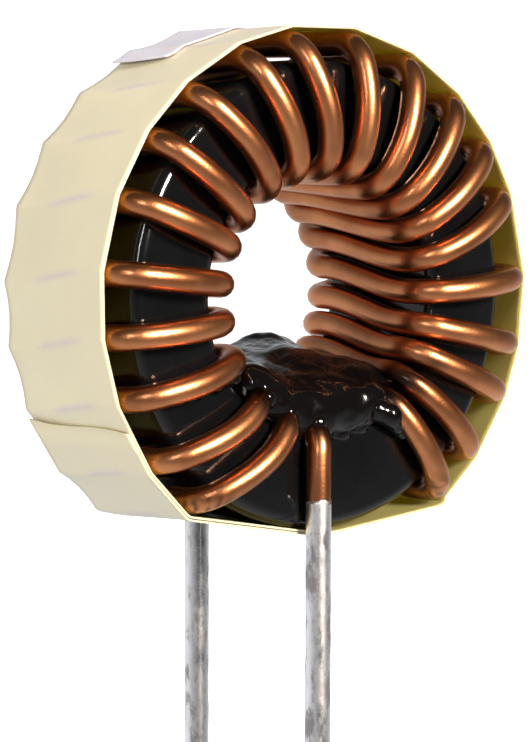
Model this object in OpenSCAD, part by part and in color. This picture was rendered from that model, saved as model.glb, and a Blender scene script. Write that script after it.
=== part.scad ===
// Toroidal inductor: one enamelled wire wound round a coated powder ring.
// The ring stands on edge and both wire ends leave downwards as tinned leads.
// X runs to the right, the front face looks along -Y, and Z points up.
// The origin is on the board, midway between the two leads.

/* [Core] */
// Outside diameter of the ring
core_od = 26.9; // [25:0.1:30]
// Thickness of the ring from its bore to its outside
core_wall = 5.45; // [4:0.05:6]
// Length of the ring along its axis
core_h = 10.1; // [9:0.1:13]
// Radius of the ring's rounded edges
core_round = 0.8; // [0.3:0.1:1.5]

/* [Winding] */
// Diameter over the enamel
wire_d = 1.5; // [1.2:0.02:1.5]
// Inside radius where the wire turns a corner of the ring
bend_inside = 1.25; // [1:0.05:1.6]
// Air between the wire and the outside of the ring
outer_air = 0.35; // [0.1:0.05:0.6]
// Air between the wire and the bore
bore_air = 0.08; // [0.05:0.01:0.3]
// Air between the wire and the flat faces, at the corners
face_air = 0.1; // [0.05:0.05:0.4]
// How far a span arches away from the flat face
arch = 0.3; // [0:0.05:0.6]
// How far a pass in the bore slants, in degrees
bore_slant = 10; // [6:1:12]
// How far a pass on the outside slants, in degrees
outer_slant = 3; // [0:1:6]

/* [Leads] */
// How far the ring's middle stands to the right of the leads
ring_x = 1.2; // [0:0.1:1.6]
// Length of the leads below the seating plane
lead_length = 16; // [6:0.5:25]
// Height where the tinned end starts, above the seating plane
tin_start = 2.2; // [0.5:0.1:3]
// How much thinner the tinned end is where it meets the enamel
tin_fade = 0.02; // [0.02:0.01:0.03]
// How far the tinned end runs up inside the enamel
lead_joint = 0.4; // [0.2:0.1:0.8]

/* [Tape] */
// Thickness of the film band
tape_t = 0.12; // [0.08:0.01:0.2]
// Width of the film band
tape_w = 9.8; // [8:0.1:10.5]
// How far the band's front edge lies behind the middle of the wires on the front face
tape_inset = 0.95; // [0.3:0.05:1.5]
// Slack between the film and what it wraps
slack = 0.05; // [0.03:0.01:0.1]
// Width of the blank label film
label_w = 4.9; // [4:0.1:8]
// Thickness of the label film
label_t = 0.1; // [0.08:0.01:0.2]

/* [Adhesive] */
// How far the top of the plug in the bore lies below the ring's middle
plug_top = 3.1; // [2.6:0.1:4]
// Radius of the plug's corners and of the drop over the front lead
plug_drop = 1.6; // [1.3:0.1:1.8]
// How far the middles of the plug's corners lie inside the ring's faces
plug_inset = 1.4; // [1.2:0.1:2]

/* [Hidden] */
$fn = 96;

// Angles go clockwise from the bottom, seen from the front.
// Where each turn leaves the outside of the ring, at the front
outer_at = [39, 52, 68, 82, 96, 112, 127, 141, 157, 171,
            188, 205, 221, 235, 248, 267, 283, 295, 311, 324];
// Where the same turn enters the bore, at the front
bore_at = [22, 40, 62, 80, 96, 112, 127, 146, 162, 179,
           194, 211, 226, 240, 255, 270, 285, 298, 311, 324];
turns = len(outer_at);

wire_r = wire_d / 2;
core_r = core_od / 2;
bore_r = core_r - core_wall;
bend = bend_inside + wire_r;
run_outer = core_r + outer_air + wire_r;
run_bore = bore_r - bore_air - wire_r;
run_face = core_h / 2 + face_air + wire_r;
bend_y = run_face - bend;
tape_front = run_face - tape_inset;
lap = tape_t + slack;
axis_z = core_r + slack + lap + tape_t;
front_lead = [0, -run_face];
rear_lead = [0, run_face];
front_lead_at = asin(ring_x / (run_bore + bend));

// Rings of facets along one turn of the swept wire
sides = 10;
front_steps = 4;
rear_steps = 3;
arch_steps = 3;
pass_steps = 3;
outer_steps = 2;
facet_r = wire_r / sqrt(sides / 2 / PI * sin(360 / sides));

function polar(r, a, y) = [ring_x - r * sin(a), y, axis_z - r * cos(a)];
function ease(t) = t * t * (3 - 2 * t);
function unit(v) = v / norm(v);

// Share of the way across a face, counted from the start of its first bend
face_bend = 90 * PI / 180 * bend;
face_flat = run_outer - run_bore - 2 * bend;
function share(done) = done / (2 * face_bend + face_flat);

// A point on the face run: u in bends and flats from the outside to the bore
function face_point(part, u, from, to, way) =
    let (
        done = part == 0 ? u * face_bend
             : part == 1 ? face_bend + u * face_flat
             : face_bend + face_flat + u * face_bend,
        t = share(done),
        a = from + (to - from) * ease(t),
        lift = arch * (1 - cos(360 * t)) / 2,
        r = part == 0 ? run_outer - bend * (1 - cos(90 * u))
          : part == 1 ? run_outer - bend - u * face_flat
          : run_bore + bend * (1 - sin(90 * u)),
        y = part == 0 ? bend_y + bend * sin(90 * u)
          : part == 1 ? run_face
          : bend_y + bend * cos(90 * u)
    )
    polar(r, a, way * (y + lift));

// The run across a face from the outside into the bore
function face_run(from, to, way, steps) = [
    for (i = [0 : steps]) face_point(0, i / steps, from, to, way),
    for (i = [1 : arch_steps - 1]) face_point(1, i / arch_steps, from, to, way),
    for (i = [0 : steps]) face_point(2, i / steps, from, to, way)
];

function backwards(list) = [for (i = [len(list) - 1 : -1 : 0]) list[i]];

// A straight pass along the ring's axis, without its ends
function pass(r, from, to, y0, y1, steps) = [
    for (i = [1 : steps - 1])
        polar(r, from + (to - from) * ease(i / steps), y0 + (y1 - y0) * i / steps)
];

// One turn: over the rear face, along the outside, over the front, through the bore
function turn(k, bore_from) = concat(
    backwards(face_run(outer_at[k] - outer_slant, bore_from, 1, rear_steps)),
    pass(run_outer, outer_at[k] - outer_slant, outer_at[k], bend_y, -bend_y, outer_steps),
    face_run(outer_at[k], bore_at[k], -1, front_steps),
    pass(run_bore, bore_at[k], bore_at[k] - bore_slant, -bend_y, bend_y, pass_steps)
);

// The wire enters at the front lead and leaves at the rear lead
function front_end() = [
    [front_lead[0], front_lead[1], tin_start],
    for (i = [0 : front_steps])
        polar(run_bore + bend * (1 - sin(90 * i / front_steps)), front_lead_at,
              -bend_y - bend * cos(90 * i / front_steps)),
    each pass(run_bore, front_lead_at, front_lead_at - bore_slant, -bend_y, bend_y, pass_steps)
];
rear_from = bore_at[0] - bore_slant;
rear_steps_down = 3;
function rear_end() = [
    let (
        bend_x = polar(run_bore + bend, rear_from, 0)[0],
        bend_z = polar(run_bore + bend, rear_from, 0)[2],
        down_z = tin_start + lead_joint
    )
    each [
        for (i = [0 : front_steps + rear_steps_down])
            let (
                q = min(1, i / front_steps),
                u = max(0, i - front_steps) / rear_steps_down,
                p = polar(run_bore + bend * (1 - cos(90 * q)), rear_from, bend_y + bend * sin(90 * q)),
                x = p[0] + (rear_lead[0] - bend_x) * ease(i / (front_steps + rear_steps_down))
            )
            [x, p[1], p[2] + (down_z - bend_z) * u],
        [rear_lead[0], rear_lead[1], tin_start]
    ]
];

turn_rings = len(turn(0, 0));
first_rings = len(front_end());
route = concat(
    front_end(),
    [for (k = [turns - 1 : -1 : 0])
        each turn(k, (k == turns - 1 ? 360 + front_lead_at : bore_at[k + 1]) - bore_slant)],
    rear_end()
);

// A round wire swept along a list of points
function heading(p, i) =
    i == 0 ? [0, 0, 1]
    : i == len(p) - 1 ? [0, 0, -1]
    : unit(unit(p[i + 1] - p[i]) + unit(p[i] - p[i - 1]));
function carried(n, t) = unit(n - (n * t) * t);
function frames(p) = [
    for (i = 0, n = [1, 0, 0]; i < len(p);
         i = i + 1, n = i < len(p) ? carried(n, heading(p, i)) : n) n
];

// Corner points of every ring of facets, then the skin between two of the rings
wire_points =
    let (side = frames(route))
    [
        for (i = [0 : len(route) - 1])
            let (t = heading(route, i), n = side[i], b = cross(t, n))
            for (j = [0 : sides - 1])
                let (a = 360 * (j + 0.5) / sides)
                route[i] + facet_r * (cos(a) * n + sin(a) * b)
    ];

module wire_piece(first, last) {
    count = last - first;
    end = count * sides;
    walls = [
        for (i = [0 : count - 1])
            for (j = [0 : sides - 1])
                let (a = i * sides + j, b = i * sides + (j + 1) % sides)
                each [[a, b + sides, b], [a, a + sides, b + sides]]
    ];
    polyhedron(
        points = [for (i = [first * sides : (last + 1) * sides - 1]) wire_points[i]],
        faces = concat(
            [[for (j = [0 : sides - 1]) j]],
            walls,
            [[for (j = [sides - 1 : -1 : 0]) end + j]]
        )
    );
}

// Film polygon: it bends over each wire and lies on the ring at the bottom
function wire_angle(k, y) =
    outer_at[k] - outer_slant * ease(min(1, max(0, (y + bend_y) / (2 * bend_y))));
function normal(a) = [-sin(a), -cos(a)];
function left_of(v) = unit([v[1], -v[0]]);
rest_angle = acos((core_r - wire_r) / run_outer);

function film_normal(k, y) =
    k < 0 ? normal(wire_angle(0, y) - rest_angle)
    : k >= turns - 1 ? normal(wire_angle(turns - 1, y) + rest_angle)
    : let (
        a = run_outer * normal(wire_angle(k, y)),
        b = run_outer * normal(wire_angle(k + 1, y)),
        n = left_of(b - a)
    )
    n * a > 0 ? n : -n;

function film_corner(i, off, y) =
    let (k = i % around)
    k < turns
    ? let (a = film_normal(k - 1, y), b = film_normal(k, y))
      run_outer * normal(wire_angle(k, y)) + (wire_r + slack + off) * (a + b) / (1 + a * b)
    : let (
        swing = k == turns
            ? (wire_angle(turns - 1, y) + rest_angle - 360) / 2
            : (wire_angle(0, y) - rest_angle) / 2
    )
    normal(swing) * (core_r + slack + off) / cos(swing);

function film_point(s, off, y) =
    let (
        i = floor(s + 0.0001),
        t = s - i,
        a = film_corner(i, off, y),
        b = film_corner(i + 1, off, y),
        q = t < 0.001 ? a : a + (b - a) * t
    )
    [ring_x + q[0], y, axis_z + q[1]];

// A strip of film through the stations, each with its height above the wires
module film(stations, t, y0, y1) {
    n = len(stations);
    points = [
        for (s = stations)
            each [
                film_point(s[0], s[1], y0), film_point(s[0], s[1] + t, y0),
                film_point(s[0], s[1] + t, y1), film_point(s[0], s[1], y1)
            ]
    ];
    walls = [
        for (i = [0 : n - 2])
            for (j = [0 : 3])
                let (a = 4 * i + j, b = 4 * i + (j + 1) % 4)
                each [[a, b + 4, b], [a, a + 4, b + 4]]
    ];
    last = 4 * (n - 1);
    polyhedron(
        points = points,
        faces = concat([[0, 1, 2, 3]], walls, [[last + 3, last + 2, last + 1, last]])
    );
}

// The film's path has a corner at each wire and two below the ring
around = turns + 2;
// Where the band starts below the ring and ends after its lap, counted in corners
tape_from = 0.3;
tape_to = 1.6;
// Where the label starts and ends, counted in the same way
label_from = 7.7;
label_to = 11.8;
tape_stations = [
    [turns + tape_from, 0],
    for (i = [turns + 1 : around + turns - 2]) [i, 0],
    for (i = [around + turns - 1 : 2 * around + 1]) [i, lap],
    [2 * around + tape_to, lap]
];
label_stations = [
    [label_from, lap],
    for (i = [ceil(label_from) : floor(label_to)]) [i, lap],
    [label_to, lap]
];

module ring() {
    translate([ring_x, 0, axis_z])
    rotate([90, 0, 0])
    rotate_extrude() {
        translate([bore_r + core_round, -core_h / 2])
            square([core_r - bore_r - 2 * core_round, core_h]);
        translate([bore_r, -core_h / 2 + core_round])
            square([core_r - bore_r, core_h - 2 * core_round]);
        for (r = [bore_r + core_round, core_r - core_round])
            for (h = [-1, 1])
                translate([r, h * (core_h / 2 - core_round)])
                    circle(core_round);
    }
}

module core() {
    color("#1b1a1c") ring();
}

// The tinned end: straight below the seating plane, then a hair thinner up into the enamel
module tinned_end(at) {
    color("#b9bbc0") {
        translate([at[0], at[1], -lead_length]) cylinder(r = wire_r, h = lead_length);
        translate([at[0], at[1], 0])
            cylinder(r1 = wire_r, r2 = wire_r - tin_fade, h = tin_start + lead_joint);
    }
}

module winding() {
    color("#b8693a") wire_piece(0, len(route) - 1);
    tinned_end(front_lead);
    tinned_end(rear_lead);
}

module tape() {
    color("#e3d9b8") film(tape_stations, tape_t, -tape_front, tape_w - tape_front);
}

module label() {
    color("#e6e4ec")
    film(label_stations, label_t, tape_w - tape_front - label_w, tape_w - tape_front);
}

// Drops of adhesive on the front: angle, distance from the ring's axis, height off the face, radius
face_drops = [
    [51, bore_r - 0.2, 0.2, 0.9], [31, bore_r, 0.2, 1.2], [front_lead_at, bore_r - 0.9, 0, plug_drop],
    [-16, bore_r - 0.4, 0.1, 1.4], [-37, bore_r, 0.4, 1.2]
];
// Smears along the wires, each from one drop to another
smears = [
    [[-36, bore_r + 0.4, 0.4, 1], [-35, bore_r + 2.2, 0.2, 0.7]],
    [[56, bore_r + 0.4, 0, 0.7], [63, core_r - 1, 0, 0.6]]
];
// Turns that the adhesive may reach, on the right and on the left of the leads
wetted_right = 3;
wetted_left = 4;
// Corners of the plug that fills the bottom of the bore: across, and below the axis
plug_corners = [
    [-3.2, plug_top + plug_drop], [3.4, plug_top + plug_drop],
    [-2.6, bore_r - 1], [2.8, bore_r - 1]
];

module drop(d) {
    translate(polar(d[1], d[0], -core_h / 2 - d[2])) sphere(r = d[3], $fn = 12);
}

module adhesive() {
    color("#16130f")
    difference() {
        union() {
            hull()
                for (c = plug_corners, way = [-1, 1])
                    translate([ring_x + c[0], way * (core_h / 2 - plug_inset), axis_z - c[1]])
                        sphere(r = plug_drop, $fn = 12);
            for (i = [0 : len(face_drops) - 2]) hull() {
                drop(face_drops[i]);
                drop(face_drops[i + 1]);
            }
            for (pair = smears) hull() {
                drop(pair[0]);
                drop(pair[1]);
            }
        }
        ring();
        wire_piece(0, first_rings + wetted_right * turn_rings);
        wire_piece(first_rings + (turns - wetted_left) * turn_rings, len(route) - 1);
    }
}

core();
winding();
tape();
label();
adhesive();
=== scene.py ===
"""Looks of the toroidal inductor: enamelled wire on a coated powder ring, banded with film."""

from math import acos, asin, atan2, cos, degrees, pi, radians, sin, tan

import bmesh
import bpy
from mathutils import Matrix, Vector, noise


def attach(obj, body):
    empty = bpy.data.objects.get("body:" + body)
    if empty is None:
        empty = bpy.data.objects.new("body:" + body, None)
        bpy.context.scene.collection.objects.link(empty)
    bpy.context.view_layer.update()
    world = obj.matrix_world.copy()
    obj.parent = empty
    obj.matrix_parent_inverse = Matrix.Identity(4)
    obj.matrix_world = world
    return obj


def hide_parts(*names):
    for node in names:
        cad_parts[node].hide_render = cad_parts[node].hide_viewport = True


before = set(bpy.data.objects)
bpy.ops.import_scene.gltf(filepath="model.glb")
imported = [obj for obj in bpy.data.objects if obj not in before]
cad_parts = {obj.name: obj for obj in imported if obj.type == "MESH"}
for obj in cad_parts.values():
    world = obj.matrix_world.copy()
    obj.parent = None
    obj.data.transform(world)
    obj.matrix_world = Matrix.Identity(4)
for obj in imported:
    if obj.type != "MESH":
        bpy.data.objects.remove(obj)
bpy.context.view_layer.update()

MM = 0.001

# Sizes in millimetres and angles in degrees, as in the CAD part
CORE_R, BORE_R, CORE_H, CORE_ROUND = 13.45, 8.0, 10.1, 0.8
WIRE_R, BEND = 0.75, 2.0
# Air between wire and coat, and how far the band's front edge lies behind the wire's middle line
OUTER_AIR, BORE_AIR, FACE_AIR, TAPE_INSET = 0.35, 0.08, 0.1, 0.95
# The wire's middle line: its distance from the axis outside and in the bore, its depth on the faces
RUN_OUTER = CORE_R + OUTER_AIR + WIRE_R
RUN_BORE = BORE_R - BORE_AIR - WIRE_R
RUN_FACE = CORE_H / 2 + FACE_AIR + WIRE_R
BEND_Y = RUN_FACE - BEND
BORE_SLANT, OUTER_SLANT = 10, 3
RING_X, LEAD_LENGTH, TIN_START = 1.2, 16, 2.2
# The wire ends inside the solder, and each lead runs straight from its height downwards
WIRE_END, FRONT_STRAIGHT, REAR_STRAIGHT = TIN_START - 1.0, TIN_START + 0.5, TIN_START + 0.4
FRONT_LEAD, REAR_LEAD = (0, -RUN_FACE), (0, RUN_FACE)
TAPE_T, TAPE_W, TAPE_FRONT, SLACK = 0.12, 9.8, RUN_FACE - TAPE_INSET, 0.05
LABEL_W, LABEL_T = 4.9, 0.1
# How much further out the band lies where it is double, and how high the ring's axis is
LAP = TAPE_T + SLACK
AXIS_Z = CORE_R + SLACK + LAP + TAPE_T

# Where each turn leaves the outside and enters the bore at the front, clockwise from the bottom
OUTER_AT = [39, 52, 68, 82, 96, 112, 127, 141, 157, 171,
            188, 205, 221, 235, 248, 267, 283, 295, 311, 324]
BORE_AT = [22, 40, 62, 80, 96, 112, 127, 146, 162, 179,
           194, 211, 226, 240, 255, 270, 285, 298, 311, 324]
TURNS = len(OUTER_AT)
LEAD_AT = degrees(asin(RING_X / (RUN_BORE + BEND)))

# The photograph's camera: direction and distance from the ring's middle, focal length in pixels
VIEW_AZ, VIEW_EL, VIEW_ROLL, VIEW_DIST = -37.4, 4.1, 0.15, 164.5
PHOTO_W, PHOTO_H, FOCAL_PX = 530, 742, 2805
RING_PX = (272.7, 291.9)


def polar(r, a, y):
    """A point in millimetres at radius r and angle a round the ring's axis."""
    a = radians(a)
    return Vector((RING_X - r * sin(a), y, AXIS_Z - r * cos(a)))


def ease(t):
    """0 to 1 with a soft start and end, and flat beyond them."""
    t = min(1.0, max(0.0, t))
    return t * t * (3 - 2 * t)


def shares(n, first=0):
    """Even steps from 0 to 1, or from the step numbered first."""
    return [i / n for i in range(first, n + 1)]


# Materials, with the sizes of their patterns in millimetres

def colour(hex_code):
    """An sRGB hex colour as linear RGBA."""
    parts = [int(hex_code[i:i + 2], 16) / 255 for i in (1, 3, 5)]
    return [c / 12.92 if c <= 0.04045 else ((c + 0.055) / 1.055) ** 2.4 for c in parts] + [1]


def node(tree, kind, inputs=None, **settings):
    """Adds one node. An input given as a socket is linked, and any other value is set."""
    made = tree.nodes.new("ShaderNode" + kind)
    for key, value in settings.items():
        setattr(made, key, value)
    for key, value in (inputs or {}).items():
        if isinstance(value, bpy.types.NodeSocket):
            tree.links.new(value, made.inputs[key])
        else:
            made.inputs[key].default_value = value
    return made


def new_material(name):
    """An empty material with its tree and millimetre object coordinates."""
    made = bpy.data.materials.new(name)
    made.use_nodes = True
    tree = made.node_tree
    tree.nodes.clear()
    where = node(tree, "TexCoord").outputs["Object"]
    in_mm = node(tree, "Mapping", {"Vector": where, "Scale": (1000, 1000, 1000)}).outputs[0]
    return made, tree, in_mm


def finish_with(tree, shader):
    """Puts the shader on the material's surface."""
    out = node(tree, "OutputMaterial")
    tree.links.new(shader.outputs[0], out.inputs["Surface"])


def enamelled_copper():
    """Drawn copper under a clear amber enamel: a warm metal with a glassy coat over it."""
    made, tree, mm = new_material("enamelled_copper_wire")
    patch, drawing_line = 2.857, 0.1667
    patches = node(tree, "TexNoise", {"Vector": mm, "Scale": 1 / patch, "Detail": 3}).outputs["Fac"]
    shade = node(tree, "MapRange", {"Value": patches, "From Min": 0.35, "From Max": 0.68}).outputs[0]
    base = node(tree, "Mix", {0: shade, 6: colour("#C98659"), 7: colour("#A56842")},
                data_type="RGBA").outputs[2]
    # the resin wets and darkens the wire where its attribute says so
    wet = node(tree, "Attribute", attribute_name="wet").outputs["Fac"]
    base = node(tree, "Mix", {0: wet, 6: base, 7: colour("#2A1710")}, data_type="RGBA").outputs[2]
    # the lines of drawing are finer than this on a real wire, and would not show
    grain = node(tree, "TexNoise", {"Vector": mm, "Scale": 1 / drawing_line, "Detail": 2}).outputs["Fac"]
    bump = node(tree, "Bump", {"Height": grain, "Strength": 0.06, "Distance": 0.0002}).outputs[0]
    shader = node(tree, "BsdfPrincipled", {
        "Base Color": base, "Metallic": 1.0, "Roughness": 0.32, "Normal": bump,
        "Coat Weight": 0.25, "Coat Roughness": 0.25, "Coat Tint": colour("#FFE6C4")})
    finish_with(tree, shader)
    return made


def solder_dip():
    """Tin-alloy solder left by a dip: bright, mottled grey and slightly lumpy."""
    made, tree, mm = new_material("solder_dip_coat")
    # the mottles are drawn out along the lead, as the solder ran
    lump, lengthened = 0.909, 0.45
    stretched = node(tree, "Mapping", {"Vector": mm, "Scale": (1, 1, lengthened)}).outputs[0]
    mottle = node(tree, "TexNoise", {"Vector": stretched, "Scale": 1 / lump, "Detail": 5,
                                     "Roughness": 0.65}).outputs["Fac"]
    dark = node(tree, "MapRange", {"Value": mottle, "From Min": 0.5, "From Max": 0.62}).outputs[0]
    base = node(tree, "Mix", {0: dark, 6: colour("#F3F0F0"), 7: colour("#A8A2A2")},
                data_type="RGBA").outputs[2]
    rough = node(tree, "MapRange", {"Value": mottle, "From Min": 0.3, "From Max": 0.7,
                                    "To Min": 0.18, "To Max": 0.5}).outputs[0]
    bump = node(tree, "Bump", {"Height": mottle, "Strength": 0.25, "Distance": 0.00008}).outputs[0]
    shader = node(tree, "BsdfPrincipled", {
        "Base Color": base, "Metallic": 1.0, "Roughness": rough, "Normal": bump})
    finish_with(tree, shader)
    return made


def core_coating():
    """Epoxy powder coat on the ring: black and glossy, with a fine orange peel and dull patches."""
    made, tree, mm = new_material("black_powder_coat")
    pimple, patch = 0.4167, 2
    peel = node(tree, "TexNoise", {"Vector": mm, "Scale": 1 / pimple, "Detail": 2}).outputs["Fac"]
    dust = node(tree, "TexNoise", {"Vector": mm, "Scale": 1 / patch, "Detail": 6}).outputs["Fac"]
    base = node(tree, "Mix", {0: dust, 6: colour("#060606"), 7: colour("#0E0E10")},
                data_type="RGBA").outputs[2]
    rough = node(tree, "MapRange", {"Value": dust, "From Min": 0.3, "From Max": 0.7,
                                    "To Min": 0.07, "To Max": 0.15}).outputs[0]
    bump = node(tree, "Bump", {"Height": peel, "Strength": 0.07, "Distance": 0.00015}).outputs[0]
    shader = node(tree, "BsdfPrincipled", {
        "Base Color": base, "Roughness": rough, "Normal": bump, "IOR": 1.45})
    finish_with(tree, shader)
    return made


def polyester_film(name, face, thin):
    """Adhesive film: a smooth satin face that lets some warm light through."""
    made, tree, mm = new_material(name)
    cloud, pimple = 4.545, 0.625
    haze = node(tree, "TexNoise", {"Vector": mm, "Scale": 1 / cloud, "Detail": 3}).outputs["Fac"]
    fleck = node(tree, "TexNoise", {"Vector": mm, "Scale": 1 / pimple, "Detail": 4}).outputs["Fac"]
    base = node(tree, "Mix", {0: haze, 6: colour(face), 7: colour(thin)},
                data_type="RGBA").outputs[2]
    # painted shade: it greys in a crease line where it is stretched over a wire
    crease_shade = node(tree, "Attribute", attribute_name="crease_shade").outputs["Fac"]
    base = node(tree, "Mix", {0: crease_shade, 6: base, 7: colour("#BDB0AB")},
                data_type="RGBA").outputs[2]
    bump = node(tree, "Bump", {"Height": fleck, "Strength": 0.12, "Distance": 0.00015}).outputs[0]
    shader = node(tree, "BsdfPrincipled", {
        "Base Color": base, "Roughness": 0.34, "Normal": bump, "IOR": 1.5,
        "Subsurface Weight": 0.1, "Subsurface Radius": (1.0, 0.75, 0.3),
        "Subsurface Scale": 0.0006, "Coat Weight": 0.25, "Coat Roughness": 0.15})
    finish_with(tree, shader)
    return made


def adhesive_side():
    """The film's inner side, seen through its rubber adhesive: olive, darker than the outside as painted
    shade, and lit from outside.
    """
    made, tree, mm = new_material("rubber_adhesive_side_painted_shade")
    patch = 2
    blotch = node(tree, "TexNoise", {"Vector": mm, "Scale": 1 / patch, "Detail": 3}).outputs["Fac"]
    # the olive tones are partly the adhesive's own tint and partly painted shade of the band's inside,
    # with painted light let through the film
    base = node(tree, "Mix", {0: blotch, 6: colour("#A89F68"), 7: colour("#978F58")},
                data_type="RGBA").outputs[2]
    finish_with(tree, node(tree, "BsdfPrincipled", {
        "Base Color": base, "Roughness": 0.35, "IOR": 1.48, "Subsurface Weight": 0.75,
        "Subsurface Radius": (1.0, 0.9, 0.5), "Subsurface Scale": 0.0005}))
    return made


def black_resin():
    """Potting resin: black and glassy, reddish brown where it is thin, with specks in it."""
    made, tree, mm = new_material("black_epoxy_resin")
    grit, ripple = 0.2857, 0.625
    speck = node(tree, "TexNoise", {"Vector": mm, "Scale": 1 / grit, "Detail": 5}).outputs["Fac"]
    flow = node(tree, "TexNoise", {"Vector": mm, "Scale": 1 / ripple, "Detail": 1}).outputs["Fac"]
    thin = node(tree, "Attribute", attribute_name="amber").outputs["Fac"]
    brown = node(tree, "MapRange", {"Value": speck, "From Min": 0.35, "From Max": 0.65,
                                    "To Min": 0.25, "To Max": 0.9}).outputs[0]
    share = node(tree, "Math", {0: thin, 1: brown}, operation="MULTIPLY").outputs[0]
    base = node(tree, "Mix", {0: share, 6: colour("#080606"), 7: colour("#3C1D13")},
                data_type="RGBA").outputs[2]
    bump = node(tree, "Bump", {"Height": flow, "Strength": 0.08, "Distance": 0.0003}).outputs[0]
    shader = node(tree, "BsdfPrincipled", {
        "Base Color": base, "Roughness": 0.13, "Normal": bump, "IOR": 1.4,
        "Specular IOR Level": 0.4})
    finish_with(tree, shader)
    return made


def pale_floor():
    """White paper, lit from behind like a light table, so that it stays white at any angle."""
    made, tree, _ = new_material("matt_white_paper")
    finish_with(tree, node(tree, "BsdfPrincipled", {
        "Base Color": colour("#F4F3F1"), "Roughness": 0.9,
        "Emission Color": colour("#FFFFFF"), "Emission Strength": 0.8}))
    return made


# Pieces

def in_metres(name, bm):
    """The mesh of a bmesh in millimetres, with its faces turned outwards."""
    bmesh.ops.scale(bm, vec=(MM, MM, MM), verts=bm.verts)
    bmesh.ops.recalc_face_normals(bm, faces=bm.faces)
    mesh = bpy.data.meshes.new(name)
    bm.to_mesh(mesh)
    bm.free()
    mesh.polygons.foreach_set("use_smooth", [True] * len(mesh.polygons))
    return mesh


def shown(name, data):
    """An object of a mesh, a curve, a lamp or a camera, put in the scene."""
    made = bpy.data.objects.new(name, data)
    bpy.context.collection.objects.link(made)
    return made


def settled(holder):
    """The mesh of an object after its modifiers or its bevel; the object itself is removed."""
    mesh = bpy.data.meshes.new_from_object(holder.evaluated_get(bpy.context.evaluated_depsgraph_get()))
    bpy.data.objects.remove(holder)
    return mesh


def modified(name, bm, *modifiers):
    """The mesh of a bmesh in millimetres after modifiers, given as (kind, settings)."""
    holder = shown(name, in_metres(name, bm))
    for kind, settings in modifiers:
        step = holder.modifiers.new(kind.lower(), kind)
        for key, value in settings.items():
            setattr(step, key, value)
    return settled(holder)


def keep(name, mesh, finish, node_name):
    """Makes a mesh in metres a piece that takes the place of a CAD node."""
    mesh.polygons.foreach_set("use_smooth", [True] * len(mesh.polygons))
    mesh.materials.clear()
    mesh.materials.append(finish)
    piece = shown(name, mesh)
    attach(piece, "root")
    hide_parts(node_name)


# Wire

# Over a face the wire bends by this angle at each edge of the ring and bows out between the bends
BEND_ANGLE = 71
BEND_DEPTH = BEND * (1 - cos(radians(BEND_ANGLE)))
FACE_BEND = radians(BEND_ANGLE) * BEND
FACE_SPAN = RUN_OUTER - RUN_BORE - 2 * BEND_DEPTH
FACE_PATH = 2 * FACE_BEND + FACE_SPAN

# Steps along the wire, and round it in a quarter turn
FACE_STEPS, BORE_STEPS, OUTER_STEPS, LEAD_BEND_STEPS, LEAD_DROP_STEPS = 12, 12, 8, 10, 4
ROUND_STEPS = 5

# Where the resin has wetted the wire: below this height from the ring's middle, and near the bore
WET_BELOW, WET_WITHIN, WET_FADE = -3.4, BORE_R + 1.0, 1.6
# How far its edge wanders, and how wide a wander is
RAGGED, RAGGED_SIZE = 0.7, 1.429
# How far above the solder the flux has singed the enamel, and how wide a singed speck is
SINGED, SINGED_SPECK = 1.4, 0.3226


def face_run(start, end, way):
    """Over a flat face of the ring: round the outer edge, across in a low arch, into the bore."""
    foot = BEND_Y + BEND * sin(radians(BEND_ANGLE))
    rise = FACE_SPAN / 4 / tan(radians(BEND_ANGLE))
    # each point is the way done so far, the distance from the axis and the depth
    line = []
    for u in shares(FACE_STEPS):
        bent = radians(BEND_ANGLE * u)
        line.append((u * FACE_BEND, RUN_OUTER - BEND * (1 - cos(bent)), BEND_Y + BEND * sin(bent)))
    for u in shares(FACE_STEPS, 1):
        arch = rise * (1 - (2 * u - 1) ** 2)
        line.append((FACE_BEND + u * FACE_SPAN, RUN_OUTER - BEND_DEPTH - u * FACE_SPAN, foot + arch))
    for u in shares(FACE_STEPS, 1):
        bent = radians(BEND_ANGLE * (1 - u))
        done = FACE_BEND + FACE_SPAN + u * FACE_BEND
        line.append((done, RUN_BORE + BEND * (1 - cos(bent)), BEND_Y + BEND * sin(bent)))
    return [polar(r, start + (end - start) * ease(done / FACE_PATH), way * y) for done, r, y in line]


def straight_pass(r, start, end, y0, y1, n):
    """Along the ring's axis in the bore or outside, without the pass's two ends."""
    for u in shares(n, 1)[:-1]:
        yield polar(r, start + (end - start) * ease(u), y0 + (y1 - y0) * u)


def front_bend():
    """From the front lead's straight part round into the bore."""
    for u in shares(LEAD_BEND_STEPS):
        turned = u * pi / 2
        yield polar(RUN_BORE + BEND * (1 - sin(turned)), LEAD_AT, -BEND_Y - BEND * cos(turned))


def rear_bend(start):
    """Out of the bore at the rear, then down and aside to the rear lead's straight part."""
    foot = polar(RUN_BORE + BEND, start, 0)
    steps = LEAD_BEND_STEPS + LEAD_DROP_STEPS
    for i in range(steps + 1):
        turned = min(1, i / LEAD_BEND_STEPS) * pi / 2
        dropped = max(0, i - LEAD_BEND_STEPS) / LEAD_DROP_STEPS
        p = polar(RUN_BORE + BEND * (1 - cos(turned)), start, BEND_Y + BEND * sin(turned))
        aside = (REAR_LEAD[0] - foot.x) * ease(i / steps)
        yield Vector((p.x + aside, p.y, p.z + (REAR_STRAIGHT - foot.z) * dropped))


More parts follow.
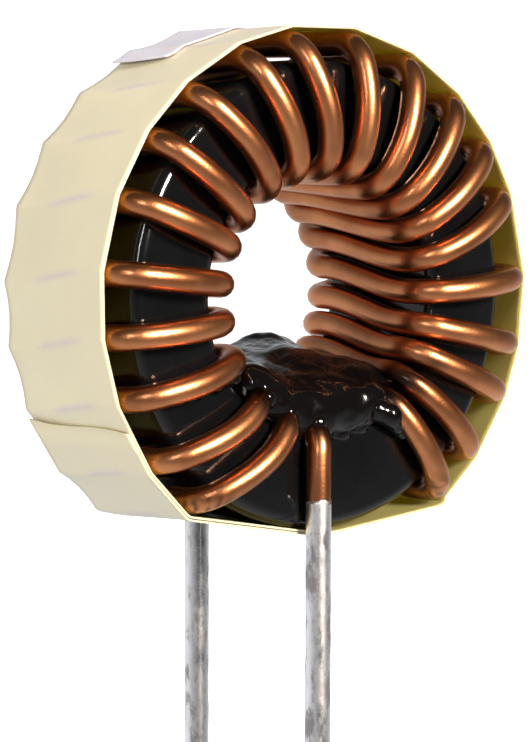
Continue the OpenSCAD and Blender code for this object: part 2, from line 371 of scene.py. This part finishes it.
def wire_route():
    """The wire's middle line from the front lead to the rear one, turn by turn as it was wound."""
    route = [Vector((*FRONT_LEAD, WIRE_END)), Vector((*FRONT_LEAD, FRONT_STRAIGHT))]
    route += front_bend()
    route += straight_pass(RUN_BORE, LEAD_AT, LEAD_AT - BORE_SLANT, -BEND_Y, BEND_Y, BORE_STEPS)
    for k in reversed(range(TURNS)):
        came_from = (360 + LEAD_AT if k == TURNS - 1 else BORE_AT[k + 1]) - BORE_SLANT
        route += face_run(OUTER_AT[k] - OUTER_SLANT, came_from, 1)[::-1]
        route += straight_pass(RUN_OUTER, OUTER_AT[k] - OUTER_SLANT, OUTER_AT[k],
                               BEND_Y, -BEND_Y, OUTER_STEPS)
        route += face_run(OUTER_AT[k], BORE_AT[k], -1)
        route += straight_pass(RUN_BORE, BORE_AT[k], BORE_AT[k] - BORE_SLANT, -BEND_Y, BEND_Y, BORE_STEPS)
    route += rear_bend(BORE_AT[0] - BORE_SLANT)
    route.append(Vector((*REAR_LEAD, WIRE_END)))
    return route


def wire():
    """The enamelled wire, swept along its route, with its wetness by the resin as an attribute."""
    route = wire_route()
    line = bpy.data.curves.new("wire_path", "CURVE")
    line.dimensions = "3D"
    line.bevel_depth = WIRE_R * MM
    line.bevel_resolution = ROUND_STEPS
    line.use_fill_caps = True
    spline = line.splines.new("POLY")
    spline.points.add(len(route) - 1)
    for point, p in zip(spline.points, route):
        point.co = (*(p * MM), 1)
    # both ends are a little thinner, so that they stay inside the solder
    for end in (0, -1):
        spline.points[end].radius = 0.9
    mesh = settled(shown("wire_path", line))
    wet = mesh.attributes.new("wet", "FLOAT", "POINT")
    wet.data.foreach_set("value", [wetness(v.co / MM) for v in mesh.vertices])
    keep("winding_wire", mesh, enamelled_copper(), "winding")


def wetness(p):
    """How far resin or flux has darkened the wire at p, from 0 to 1."""
    dx, dz = p.x - RING_X, p.z - AXIS_Z
    r = (dx * dx + dz * dz) ** 0.5
    ragged = RAGGED * noise.noise(p / RAGGED_SIZE)
    below = ease((WET_BELOW - dz + ragged) / WET_FADE)
    inside = ease((WET_WITHIN - r + ragged) / WET_FADE)
    specks = ease(0.4 + 2.5 * noise.noise(p / SINGED_SPECK))
    singed = ease(1 - (p.z - TIN_START) / SINGED) * specks
    return max(below * inside, 0.8 * singed)


# Film band and label: they bend over each wire and run straight to the next one

# The band leaves the ring at this angle from the first and the last wire
REST_ANGLE = degrees(acos((CORE_R - WIRE_R) / RUN_OUTER))
# Points of the film over a wire and under the ring, and its strips from front to rear
ARC_STEPS, UNDER_STEPS, STRIPS = 4, 10, 24
# Where the film has points between two wires, and how far it sags there at the band's rear edge
CHORD_POINTS, SAG = (0.07, 0.25, 0.5, 0.75, 0.93), 0.2
# The steps under the ring at which the band starts, and the wire after which it ends, lying double
BAND_START, LAP_WIRE = 3, 1
# How far its end reaches to the next wire, at the front edge and at the rear one, for it is cut askew
LAP_REACH = (0.62, 0.88)
# Wires after which the label starts and ends, and how far on the way to the next wire
LABEL_WIRES, LABEL_START, LABEL_END = (7, 11), (0.7, 0.78, 0.85), 0.74
# How far the label's first end has come up
LABEL_LIFT = 0.1
# A grey painted crease shade over a wire: half its length, the fade at its ends, its width in degrees, its
# middle
CREASE_HALF, CREASE_FADE, CREASE_WIDTH, CREASE_Y = 1.2, 1.6, 1.1, -0.4


def normal(a):
    """The ring's outward direction at angle a, seen along its axis."""
    a = radians(a)
    return Vector((-sin(a), -cos(a)))


def wire_angle(k, y):
    """The angle at which wire k lies outside the ring at depth y."""
    return OUTER_AT[k] - OUTER_SLANT * ease((y + BEND_Y) / (2 * BEND_Y))


def chord_normal(k, y):
    """Outward normal of the film between wire k and the next one."""
    if k < 0:
        return normal(wire_angle(0, y) - REST_ANGLE)
    if k >= TURNS - 1:
        return normal(wire_angle(TURNS - 1, y) + REST_ANGLE)
    along = normal(wire_angle(k + 1, y)) - normal(wire_angle(k, y))
    out = Vector((along.y, -along.x)).normalized()
    return out if out.dot(normal(wire_angle(k, y))) > 0 else -out


def over_wire(k, off, y):
    """The film's arc over wire k, at its middle thickness plus off."""
    a, b = chord_normal(k - 1, y), chord_normal(k, y)
    middle = RUN_OUTER * normal(wire_angle(k, y))
    return [middle + (WIRE_R + SLACK + off) * a.slerp(b, u) for u in shares(ARC_STEPS)]


def under_ring(off, y):
    """The film's way along the ring's underside, from the last wire to the first."""
    start, end = wire_angle(TURNS - 1, y) + REST_ANGLE - 360, wire_angle(0, y) - REST_ANGLE
    return [(CORE_R + SLACK + off) * normal(start + (end - start) * u) for u in shares(UNDER_STEPS)]


def chord(k, off, y):
    """Both ends of the film's way from wire k to the next one."""
    return over_wire(k, off, y)[-1], over_wire(k + 1, off, y)[0]


def over_chord(k, off, y):
    """Points between wire k and the next one: the film sags a little towards the band's rear edge."""
    a, b = chord(k, off, y)
    sag = SAG * ease((y + 1) / (TAPE_W - TAPE_FRONT + 1))
    return [a.lerp(b, u) - chord_normal(k, y) * sag * sin(pi * u) for u in CHORD_POINTS]


def placed(line, y):
    """Points seen along the ring's axis, put at depth y."""
    return [Vector((RING_X + p.x, y, AXIS_Z + p.y)) for p in line]


def film_line(y):
    """The whole band's middle line at depth y: one lap round the ring and on over two wires."""
    single, double = TAPE_T / 2, TAPE_T / 2 + LAP
    line = under_ring(single, y)[BAND_START:]
    for k in range(TURNS - 1):
        line += over_wire(k, single, y) + over_chord(k, single, y)
    line += over_wire(TURNS - 1, double, y) + under_ring(double, y)[1:-1]
    for k in range(LAP_WIRE):
        line += over_wire(k, double, y) + over_chord(k, double, y)
    a, b = chord(LAP_WIRE, double, y)
    front, rear = LAP_REACH
    reach = front + (rear - front) * (y + TAPE_FRONT) / TAPE_W
    line += over_wire(LAP_WIRE, double, y) + [a.lerp(b, u * reach) for u in (0.1, 0.5, 1)]
    return placed(line, y)


def label_line(y):
    """The label's middle line at depth y, between its two ends; its first end has come up a little."""
    off = TAPE_T + SLACK + LABEL_T / 2
    first, last = LABEL_WIRES
    a, b = chord(first, off, y)
    free, held = LABEL_START[0], LABEL_START[-1]
    lift = chord_normal(first, y) * LABEL_LIFT
    line = [a.lerp(b, u) + lift * (held - u) / (held - free) for u in LABEL_START]
    for k in range(first + 1, last):
        line += over_wire(k, off, y) + over_chord(k, off, y)
    leaving = over_chord(last, off, y)[0]
    line += over_wire(last, off, y) + [leaving, leaving.lerp(chord(last, off, y)[1], LABEL_END)]
    return placed(line, y)


def crown_share(p):
    """Share of the painted crease shade: 1 on the crown of a wire's straight part under the film, and 0
    away from it.
    """
    r = Vector((p.x - RING_X, p.z - AXIS_Z))
    a = degrees(atan2(-r.x, -r.y)) % 360
    off, k = min((abs(a - wire_angle(k, p.y)), k) for k in range(TURNS))
    # each crease lies a little further forward or back than the next one
    from_middle = abs(p.y - CREASE_Y + noise.noise(Vector((k, 0, 0))))
    along = 1 - ease((from_middle - CREASE_HALF) / CREASE_FADE)
    return max(0.0, 1 - off / CREASE_WIDTH) * along


def strip(name, node_name, line_at, y0, y1, thickness, finishes):
    """A strip of film through line_at(y), with its real thickness; the last finish is inside."""
    bm = bmesh.new()
    line = [bm.verts.new(p) for p in line_at(y0)]
    edges = [bm.edges.new(pair) for pair in zip(line, line[1:])]
    for u in shares(STRIPS, 1):
        grown = bmesh.ops.extrude_edge_only(bm, edges=edges)["geom"]
        edges = [e for e in grown if isinstance(e, bmesh.types.BMEdge)]
        moved = [v for v in grown if isinstance(v, bmesh.types.BMVert)]
        for v, p in zip(moved, line_at(y0 + (y1 - y0) * u)):
            v.co = p
    mesh = modified(name, bm, ("SOLIDIFY", {
        "thickness": thickness * MM, "offset": 0, "use_even_offset": True}))
    # painted shade of the film's creases over the wires' crowns
    crease_shade = mesh.attributes.new("crease_shade", "FLOAT", "POINT")
    crease_shade.data.foreach_set("value", [crown_share(v.co / MM) for v in mesh.vertices])
    keep(name, mesh, finishes[0], node_name)
    for finish in finishes[1:]:
        mesh.materials.append(finish)
    axis = Vector((RING_X, 0, AXIS_Z)) * MM
    inner = [p.normal.dot((p.center - axis).normalized()) < -0.5 for p in mesh.polygons]
    mesh.polygons.foreach_set("material_index", [len(finishes) - 1 if i else 0 for i in inner])


def film_pieces():
    """The band, and the blank label on its rear half."""
    rear = TAPE_W - TAPE_FRONT
    cream = polyester_film("cream_polyester_film", "#CDC4A6", "#C4B9A0")
    white = polyester_film("white_label_film", "#C8C2CE", "#BFB9C5")
    strip("film_band", "tape", film_line, -TAPE_FRONT, rear, TAPE_T, [cream, adhesive_side()])
    strip("blank_label", "label", label_line, rear - LABEL_W, rear, LABEL_T, [white])


# Core and solder

# Turned steps of the ring and of the rounding at each of its edges
CORE_STEPS, ROUNDING_STEPS = 160, 6
# The solder's steps along a lead, then its lumps: height, number in 1 mm, and how deep they sink in
SOLDER_STEPS, SOLDER_LUMP, SOLDER_LUMPS_PER_MM, SOLDER_SINK = 90, 0.02, 1.1, 0.012
# How ragged the solder's upper edge is, and how far down that reaches
SOLDER_RAGGED, SOLDER_EDGE = 0.35, 0.5


def core():
    """The coated ring: a rectangle with rounded corners, spun round the ring's axis."""
    bm = bmesh.new()
    rounded = []
    corners = [(BORE_R, -1), (CORE_R, -1), (CORE_R, 1), (BORE_R, 1)]
    for r, side in corners:
        inward = 1 if r == BORE_R else -1
        middle = Vector((r + inward * CORE_ROUND, side * (CORE_H / 2 - CORE_ROUND)))
        arc = [middle + CORE_ROUND * Vector((-inward * cos(u * pi / 2), side * sin(u * pi / 2)))
               for u in shares(ROUNDING_STEPS)]
        rounded += arc if (inward > 0) == (side < 0) else arc[::-1]
    ring = [bm.verts.new((RING_X + p.x, p.y, AXIS_Z)) for p in rounded]
    edges = [bm.edges.new((a, b)) for a, b in zip(ring, ring[1:] + ring[:1])]
    bmesh.ops.spin(bm, geom=ring + edges, cent=(RING_X, 0, AXIS_Z), axis=(0, 1, 0),
                   angle=2 * pi, steps=CORE_STEPS, use_merge=True)
    keep("core_ring", in_metres("core_ring", bm), core_coating(), "core")


def solder_coat(name, at):
    """The solder on a stripped end: thin, lumpy, with a ragged upper edge."""
    bm = bmesh.new()
    bmesh.ops.create_cone(bm, cap_ends=True, segments=32, radius1=WIRE_R, radius2=WIRE_R,
                          depth=LEAD_LENGTH + TIN_START)
    bmesh.ops.translate(bm, verts=bm.verts, vec=(at[0], at[1], (TIN_START - LEAD_LENGTH) / 2))
    upright = [e for e in bm.edges if abs(e.verts[0].co.z - e.verts[1].co.z) > 1]
    bmesh.ops.subdivide_edges(bm, edges=upright, cuts=SOLDER_STEPS)
    for v in bm.verts:
        out = Vector((v.co.x - at[0], v.co.y - at[1], 0)).normalized()
        v.co += out * (SOLDER_LUMP * noise.noise(v.co * SOLDER_LUMPS_PER_MM) - SOLDER_SINK)
        if v.co.z > TIN_START - SOLDER_EDGE:
            v.co.z += SOLDER_RAGGED * noise.noise(Vector((out.x * 1.7, out.y * 1.7, at[1])))
    keep(name, in_metres(name, bm), solder_dip(), "winding")


# Resin

# The potting in the bore's bottom, from the ring's middle: place, then half-widths
RESIN_BODY = [
    ((0.8, 1.6, -6.3), (5.8, 5.3, 3.2)), ((-4.1, -0.8, -5.4), (2.8, 4.2, 2.1)),
    ((4.1, -1.6, -5.9), (2.4, 3.8, 2.2)), ((2.3, 3.9, -4.7), (3.2, 2.2, 2.2)),
    ((1.0, -0.6, -4.7), (2.2, 2.8, 1.7)), ((0, -2.2, -6.6), (5.2, 3.6, 2.4)),
]
# What reached the wires in front: angle and distance from the axis, height off the face, radius
RESIN_APRON = [
    (44, 6.8, -0.8, 1.4), (31, 7.0, -0.6, 1.5), (19, 7.0, -0.6, 1.5), (7.5, 6.9, -0.5, 1.5),
    (-4, 6.9, -0.6, 1.5), (-16, 7.0, -0.6, 1.5), (-28, 7.1, -0.5, 1.5),
]
# Small runs and drips with a sharper form, given in the same way
RESIN_DRIPS = [
    (7.5, 7.3, 0.4, 0.7), (14, 7.8, -0.9, 1.1), (0, 7.9, -0.9, 1.1), (-10, 7.9, -0.9, 1.1),
    (-20, 7.9, -0.9, 1.1), (-31, 8.2, 0.6, 0.8), (-32.5, 9.0, 0.55, 0.65), (-33.5, 9.8, 0.4, 0.45),
    (-28, 7.6, 0.3, 0.8), (57.5, 8.2, 0.2, 0.6), (58.2, 9.3, 0.15, 0.5), (59.8, 10.4, 0.1, 0.5),
    (61.8, 11.5, 0.15, 0.45), (63.5, 12.6, 0.2, 0.4), (64.5, 13.5, 0.3, 0.35), (23, 7.2, 0.0, 0.8),
    (38, 7.3, 0.2, 0.7),
]
# Where the resin looks reddish brown: its middle from the ring's middle, and how wide it fades
AMBER_HUMP, AMBER_FADE = (1.4, -1.2, -3.3), 1.9
# The resin's ripples: how wide the broad and the fine ones are, and the fine ones' share in height
BROAD_RIPPLE, FINE_RIPPLE, FINE_SHARE = 1.25, 0.5, 0.2


def blob(bm, place, widths):
    """Adds a rounded lump with these half-widths."""
    made = bmesh.ops.create_icosphere(bm, subdivisions=4, radius=1)["verts"]
    bmesh.ops.scale(bm, vec=widths, verts=made)
    bmesh.ops.translate(bm, vec=place, verts=made)


def resin(name, blobs, voxel, passes, ripple):
    """One run of black potting resin: blobs that are melted together and rippled."""
    bm = bmesh.new()
    for place, widths in blobs:
        blob(bm, place, widths)
    mesh = modified(name, bm,
                    ("REMESH", {"mode": "VOXEL", "voxel_size": voxel * MM}),
                    ("SMOOTH", {"iterations": passes, "factor": 0.8}),
                    ("SUBSURF", {"levels": 1, "render_levels": 1}))
    hump = Vector((RING_X, 0, AXIS_Z)) + Vector(AMBER_HUMP)
    outward = [v.normal.copy() for v in mesh.vertices]
    tints = []
    for v, out in zip(mesh.vertices, outward):
        p = v.co / MM
        height = noise.noise(p / BROAD_RIPPLE) + FINE_SHARE * noise.noise(p / FINE_RIPPLE)
        v.co += out * MM * ripple * height
        tints.append(ease(1.1 - (p - hump).length / AMBER_FADE + 0.3 * noise.noise(p * 1.5)))
    mesh.attributes.new("amber", "FLOAT", "POINT").data.foreach_set("value", tints)
    keep(name, mesh, black_resin(), "adhesive")


def at_face(run):
    """Round lumps in front of the ring's face, given by angle, distance, height and radius."""
    return [(polar(r, a, -CORE_H / 2 - height), (size, size, size)) for a, r, height, size in run]


def resin_pieces():
    """The potting with what it covers in front, and the small runs beside it."""
    middle = Vector((RING_X, 0, AXIS_Z))
    body = [(middle + Vector(place), widths) for place, widths in RESIN_BODY]
    resin("potting_resin", body + at_face(RESIN_APRON), voxel=0.28, passes=40, ripple=0.16)
    resin("resin_drips", at_face(RESIN_DRIPS), voxel=0.12, passes=18, ripple=0.1)


# Studio

# The paper floor's section: distance from the middle, and height over the leads' tips
FLOOR_SECTION = [(0, 0), (450, 0), (560, 12), (640, 45), (700, 150)]

# The room brightens in this direction, between these shares of it, from dark to white
ROOM_WAY, ROOM_SHARES, ROOM_DARK, ROOM_WHITE = (0, 0.55, -0.8), (-0.4, 0.5), 0.08, 1.0

# Name, place, width, height, power in watts, colour, and whether it shows in reflections
LAMPS = [
    ("soft_key", (25, -418, 165), 120, 120, 5.2, "#FFF6EA", True),
    ("edge_strip", (-345, -285, 160), 30, 150, 0.4, "#FFFFFF", True),
    ("soft_left", (-450, -60, 60), 260, 260, 1.9, "#FFFBEF", False),
    ("soft_top", (20, 60, 460), 200, 200, 0.6, "#FFFFFF", False),
]


def paper_floor():
    """A wide paper floor whose rim rises behind the object on every side."""
    bm = bmesh.new()
    line = [bm.verts.new((x, 0, height - LEAD_LENGTH)) for x, height in FLOOR_SECTION]
    edges = [bm.edges.new(pair) for pair in zip(line, line[1:])]
    bmesh.ops.spin(bm, geom=line + edges, cent=(0, 0, 0), axis=(0, 0, 1), angle=2 * pi,
                   steps=64, use_merge=True)
    bmesh.ops.remove_doubles(bm, verts=bm.verts, dist=0.01)
    mesh = in_metres("paper_floor", bm)
    mesh.materials.append(pale_floor())
    floor = shown("paper_floor", mesh)
    # the paper only backs the view: it neither shows in the copper nor lights the object
    floor.visible_glossy = False
    floor.visible_diffuse = False


def lamps():
    """Soft oval lamps, all turned to the ring's middle."""
    target = Vector((RING_X, 0, AXIS_Z)) * MM
    for name, place, width, height, power, tint, mirrored in LAMPS:
        lamp = bpy.data.lights.new(name, "AREA")
        lamp.shape = "ELLIPSE"
        lamp.size, lamp.size_y = width * MM, height * MM
        lamp.energy = power
        lamp.color = colour(tint)[:3]
        holder = shown(name, lamp)
        holder.location = Vector(place) * MM
        holder.rotation_euler = (target - holder.location).to_track_quat("-Z", "Y").to_euler()
        holder.visible_glossy = mirrored


def room():
    """The room round it all: white behind and below the object, and dark before and above it."""
    world = bpy.data.worlds.new("studio")
    world.use_nodes = True
    tree = world.node_tree
    tree.nodes.clear()
    way = node(tree, "TexCoord").outputs["Generated"]
    share = node(tree, "VectorMath", {0: way, 1: ROOM_WAY}, operation="DOT_PRODUCT").outputs["Value"]
    power = node(tree, "MapRange", {"Value": share, "From Min": ROOM_SHARES[0], "From Max": ROOM_SHARES[1],
                                    "To Min": ROOM_DARK, "To Max": ROOM_WHITE}).outputs[0]
    sky = node(tree, "Background", {"Color": colour("#EEF1F5"), "Strength": power})
    tree.links.new(sky.outputs[0], node(tree, "OutputWorld").inputs["Surface"])
    bpy.context.scene.world = world


def camera():
    """The photograph's view: the lens is aimed so that the ring's middle lands on its pixel."""
    a, e, roll = radians(VIEW_AZ), radians(VIEW_EL), radians(VIEW_ROLL)
    back = Vector((sin(a) * cos(e), -cos(a) * cos(e), sin(e)))
    right = Vector((cos(a), sin(a), 0))
    up = back.cross(right)
    right, up = right * cos(roll) + up * sin(roll), up * cos(roll) - right * sin(roll)
    off_x = (RING_PX[0] - PHOTO_W / 2) / FOCAL_PX * VIEW_DIST
    off_y = (PHOTO_H / 2 - RING_PX[1]) / FOCAL_PX * VIEW_DIST
    eye = Vector((RING_X, 0, AXIS_Z)) + back * VIEW_DIST - right * off_x - up * off_y
    lens = bpy.data.cameras.new("camera")
    lens.sensor_fit = "VERTICAL"
    lens.sensor_height = 36
    lens.lens = FOCAL_PX / PHOTO_H * lens.sensor_height
    lens.clip_start = 0.005
    holder = shown("camera", lens)
    holder.matrix_world = Matrix.Translation(eye * MM) @ Matrix((right, up, back)).transposed().to_4x4()
    bpy.context.scene.camera = holder


camera()
core()
wire()
solder_coat("front_lead_solder", FRONT_LEAD)
solder_coat("rear_lead_solder", REAR_LEAD)
film_pieces()
resin_pieces()
paper_floor()
lamps()
room()
bpy.context.scene.view_settings.view_transform = "Standard"
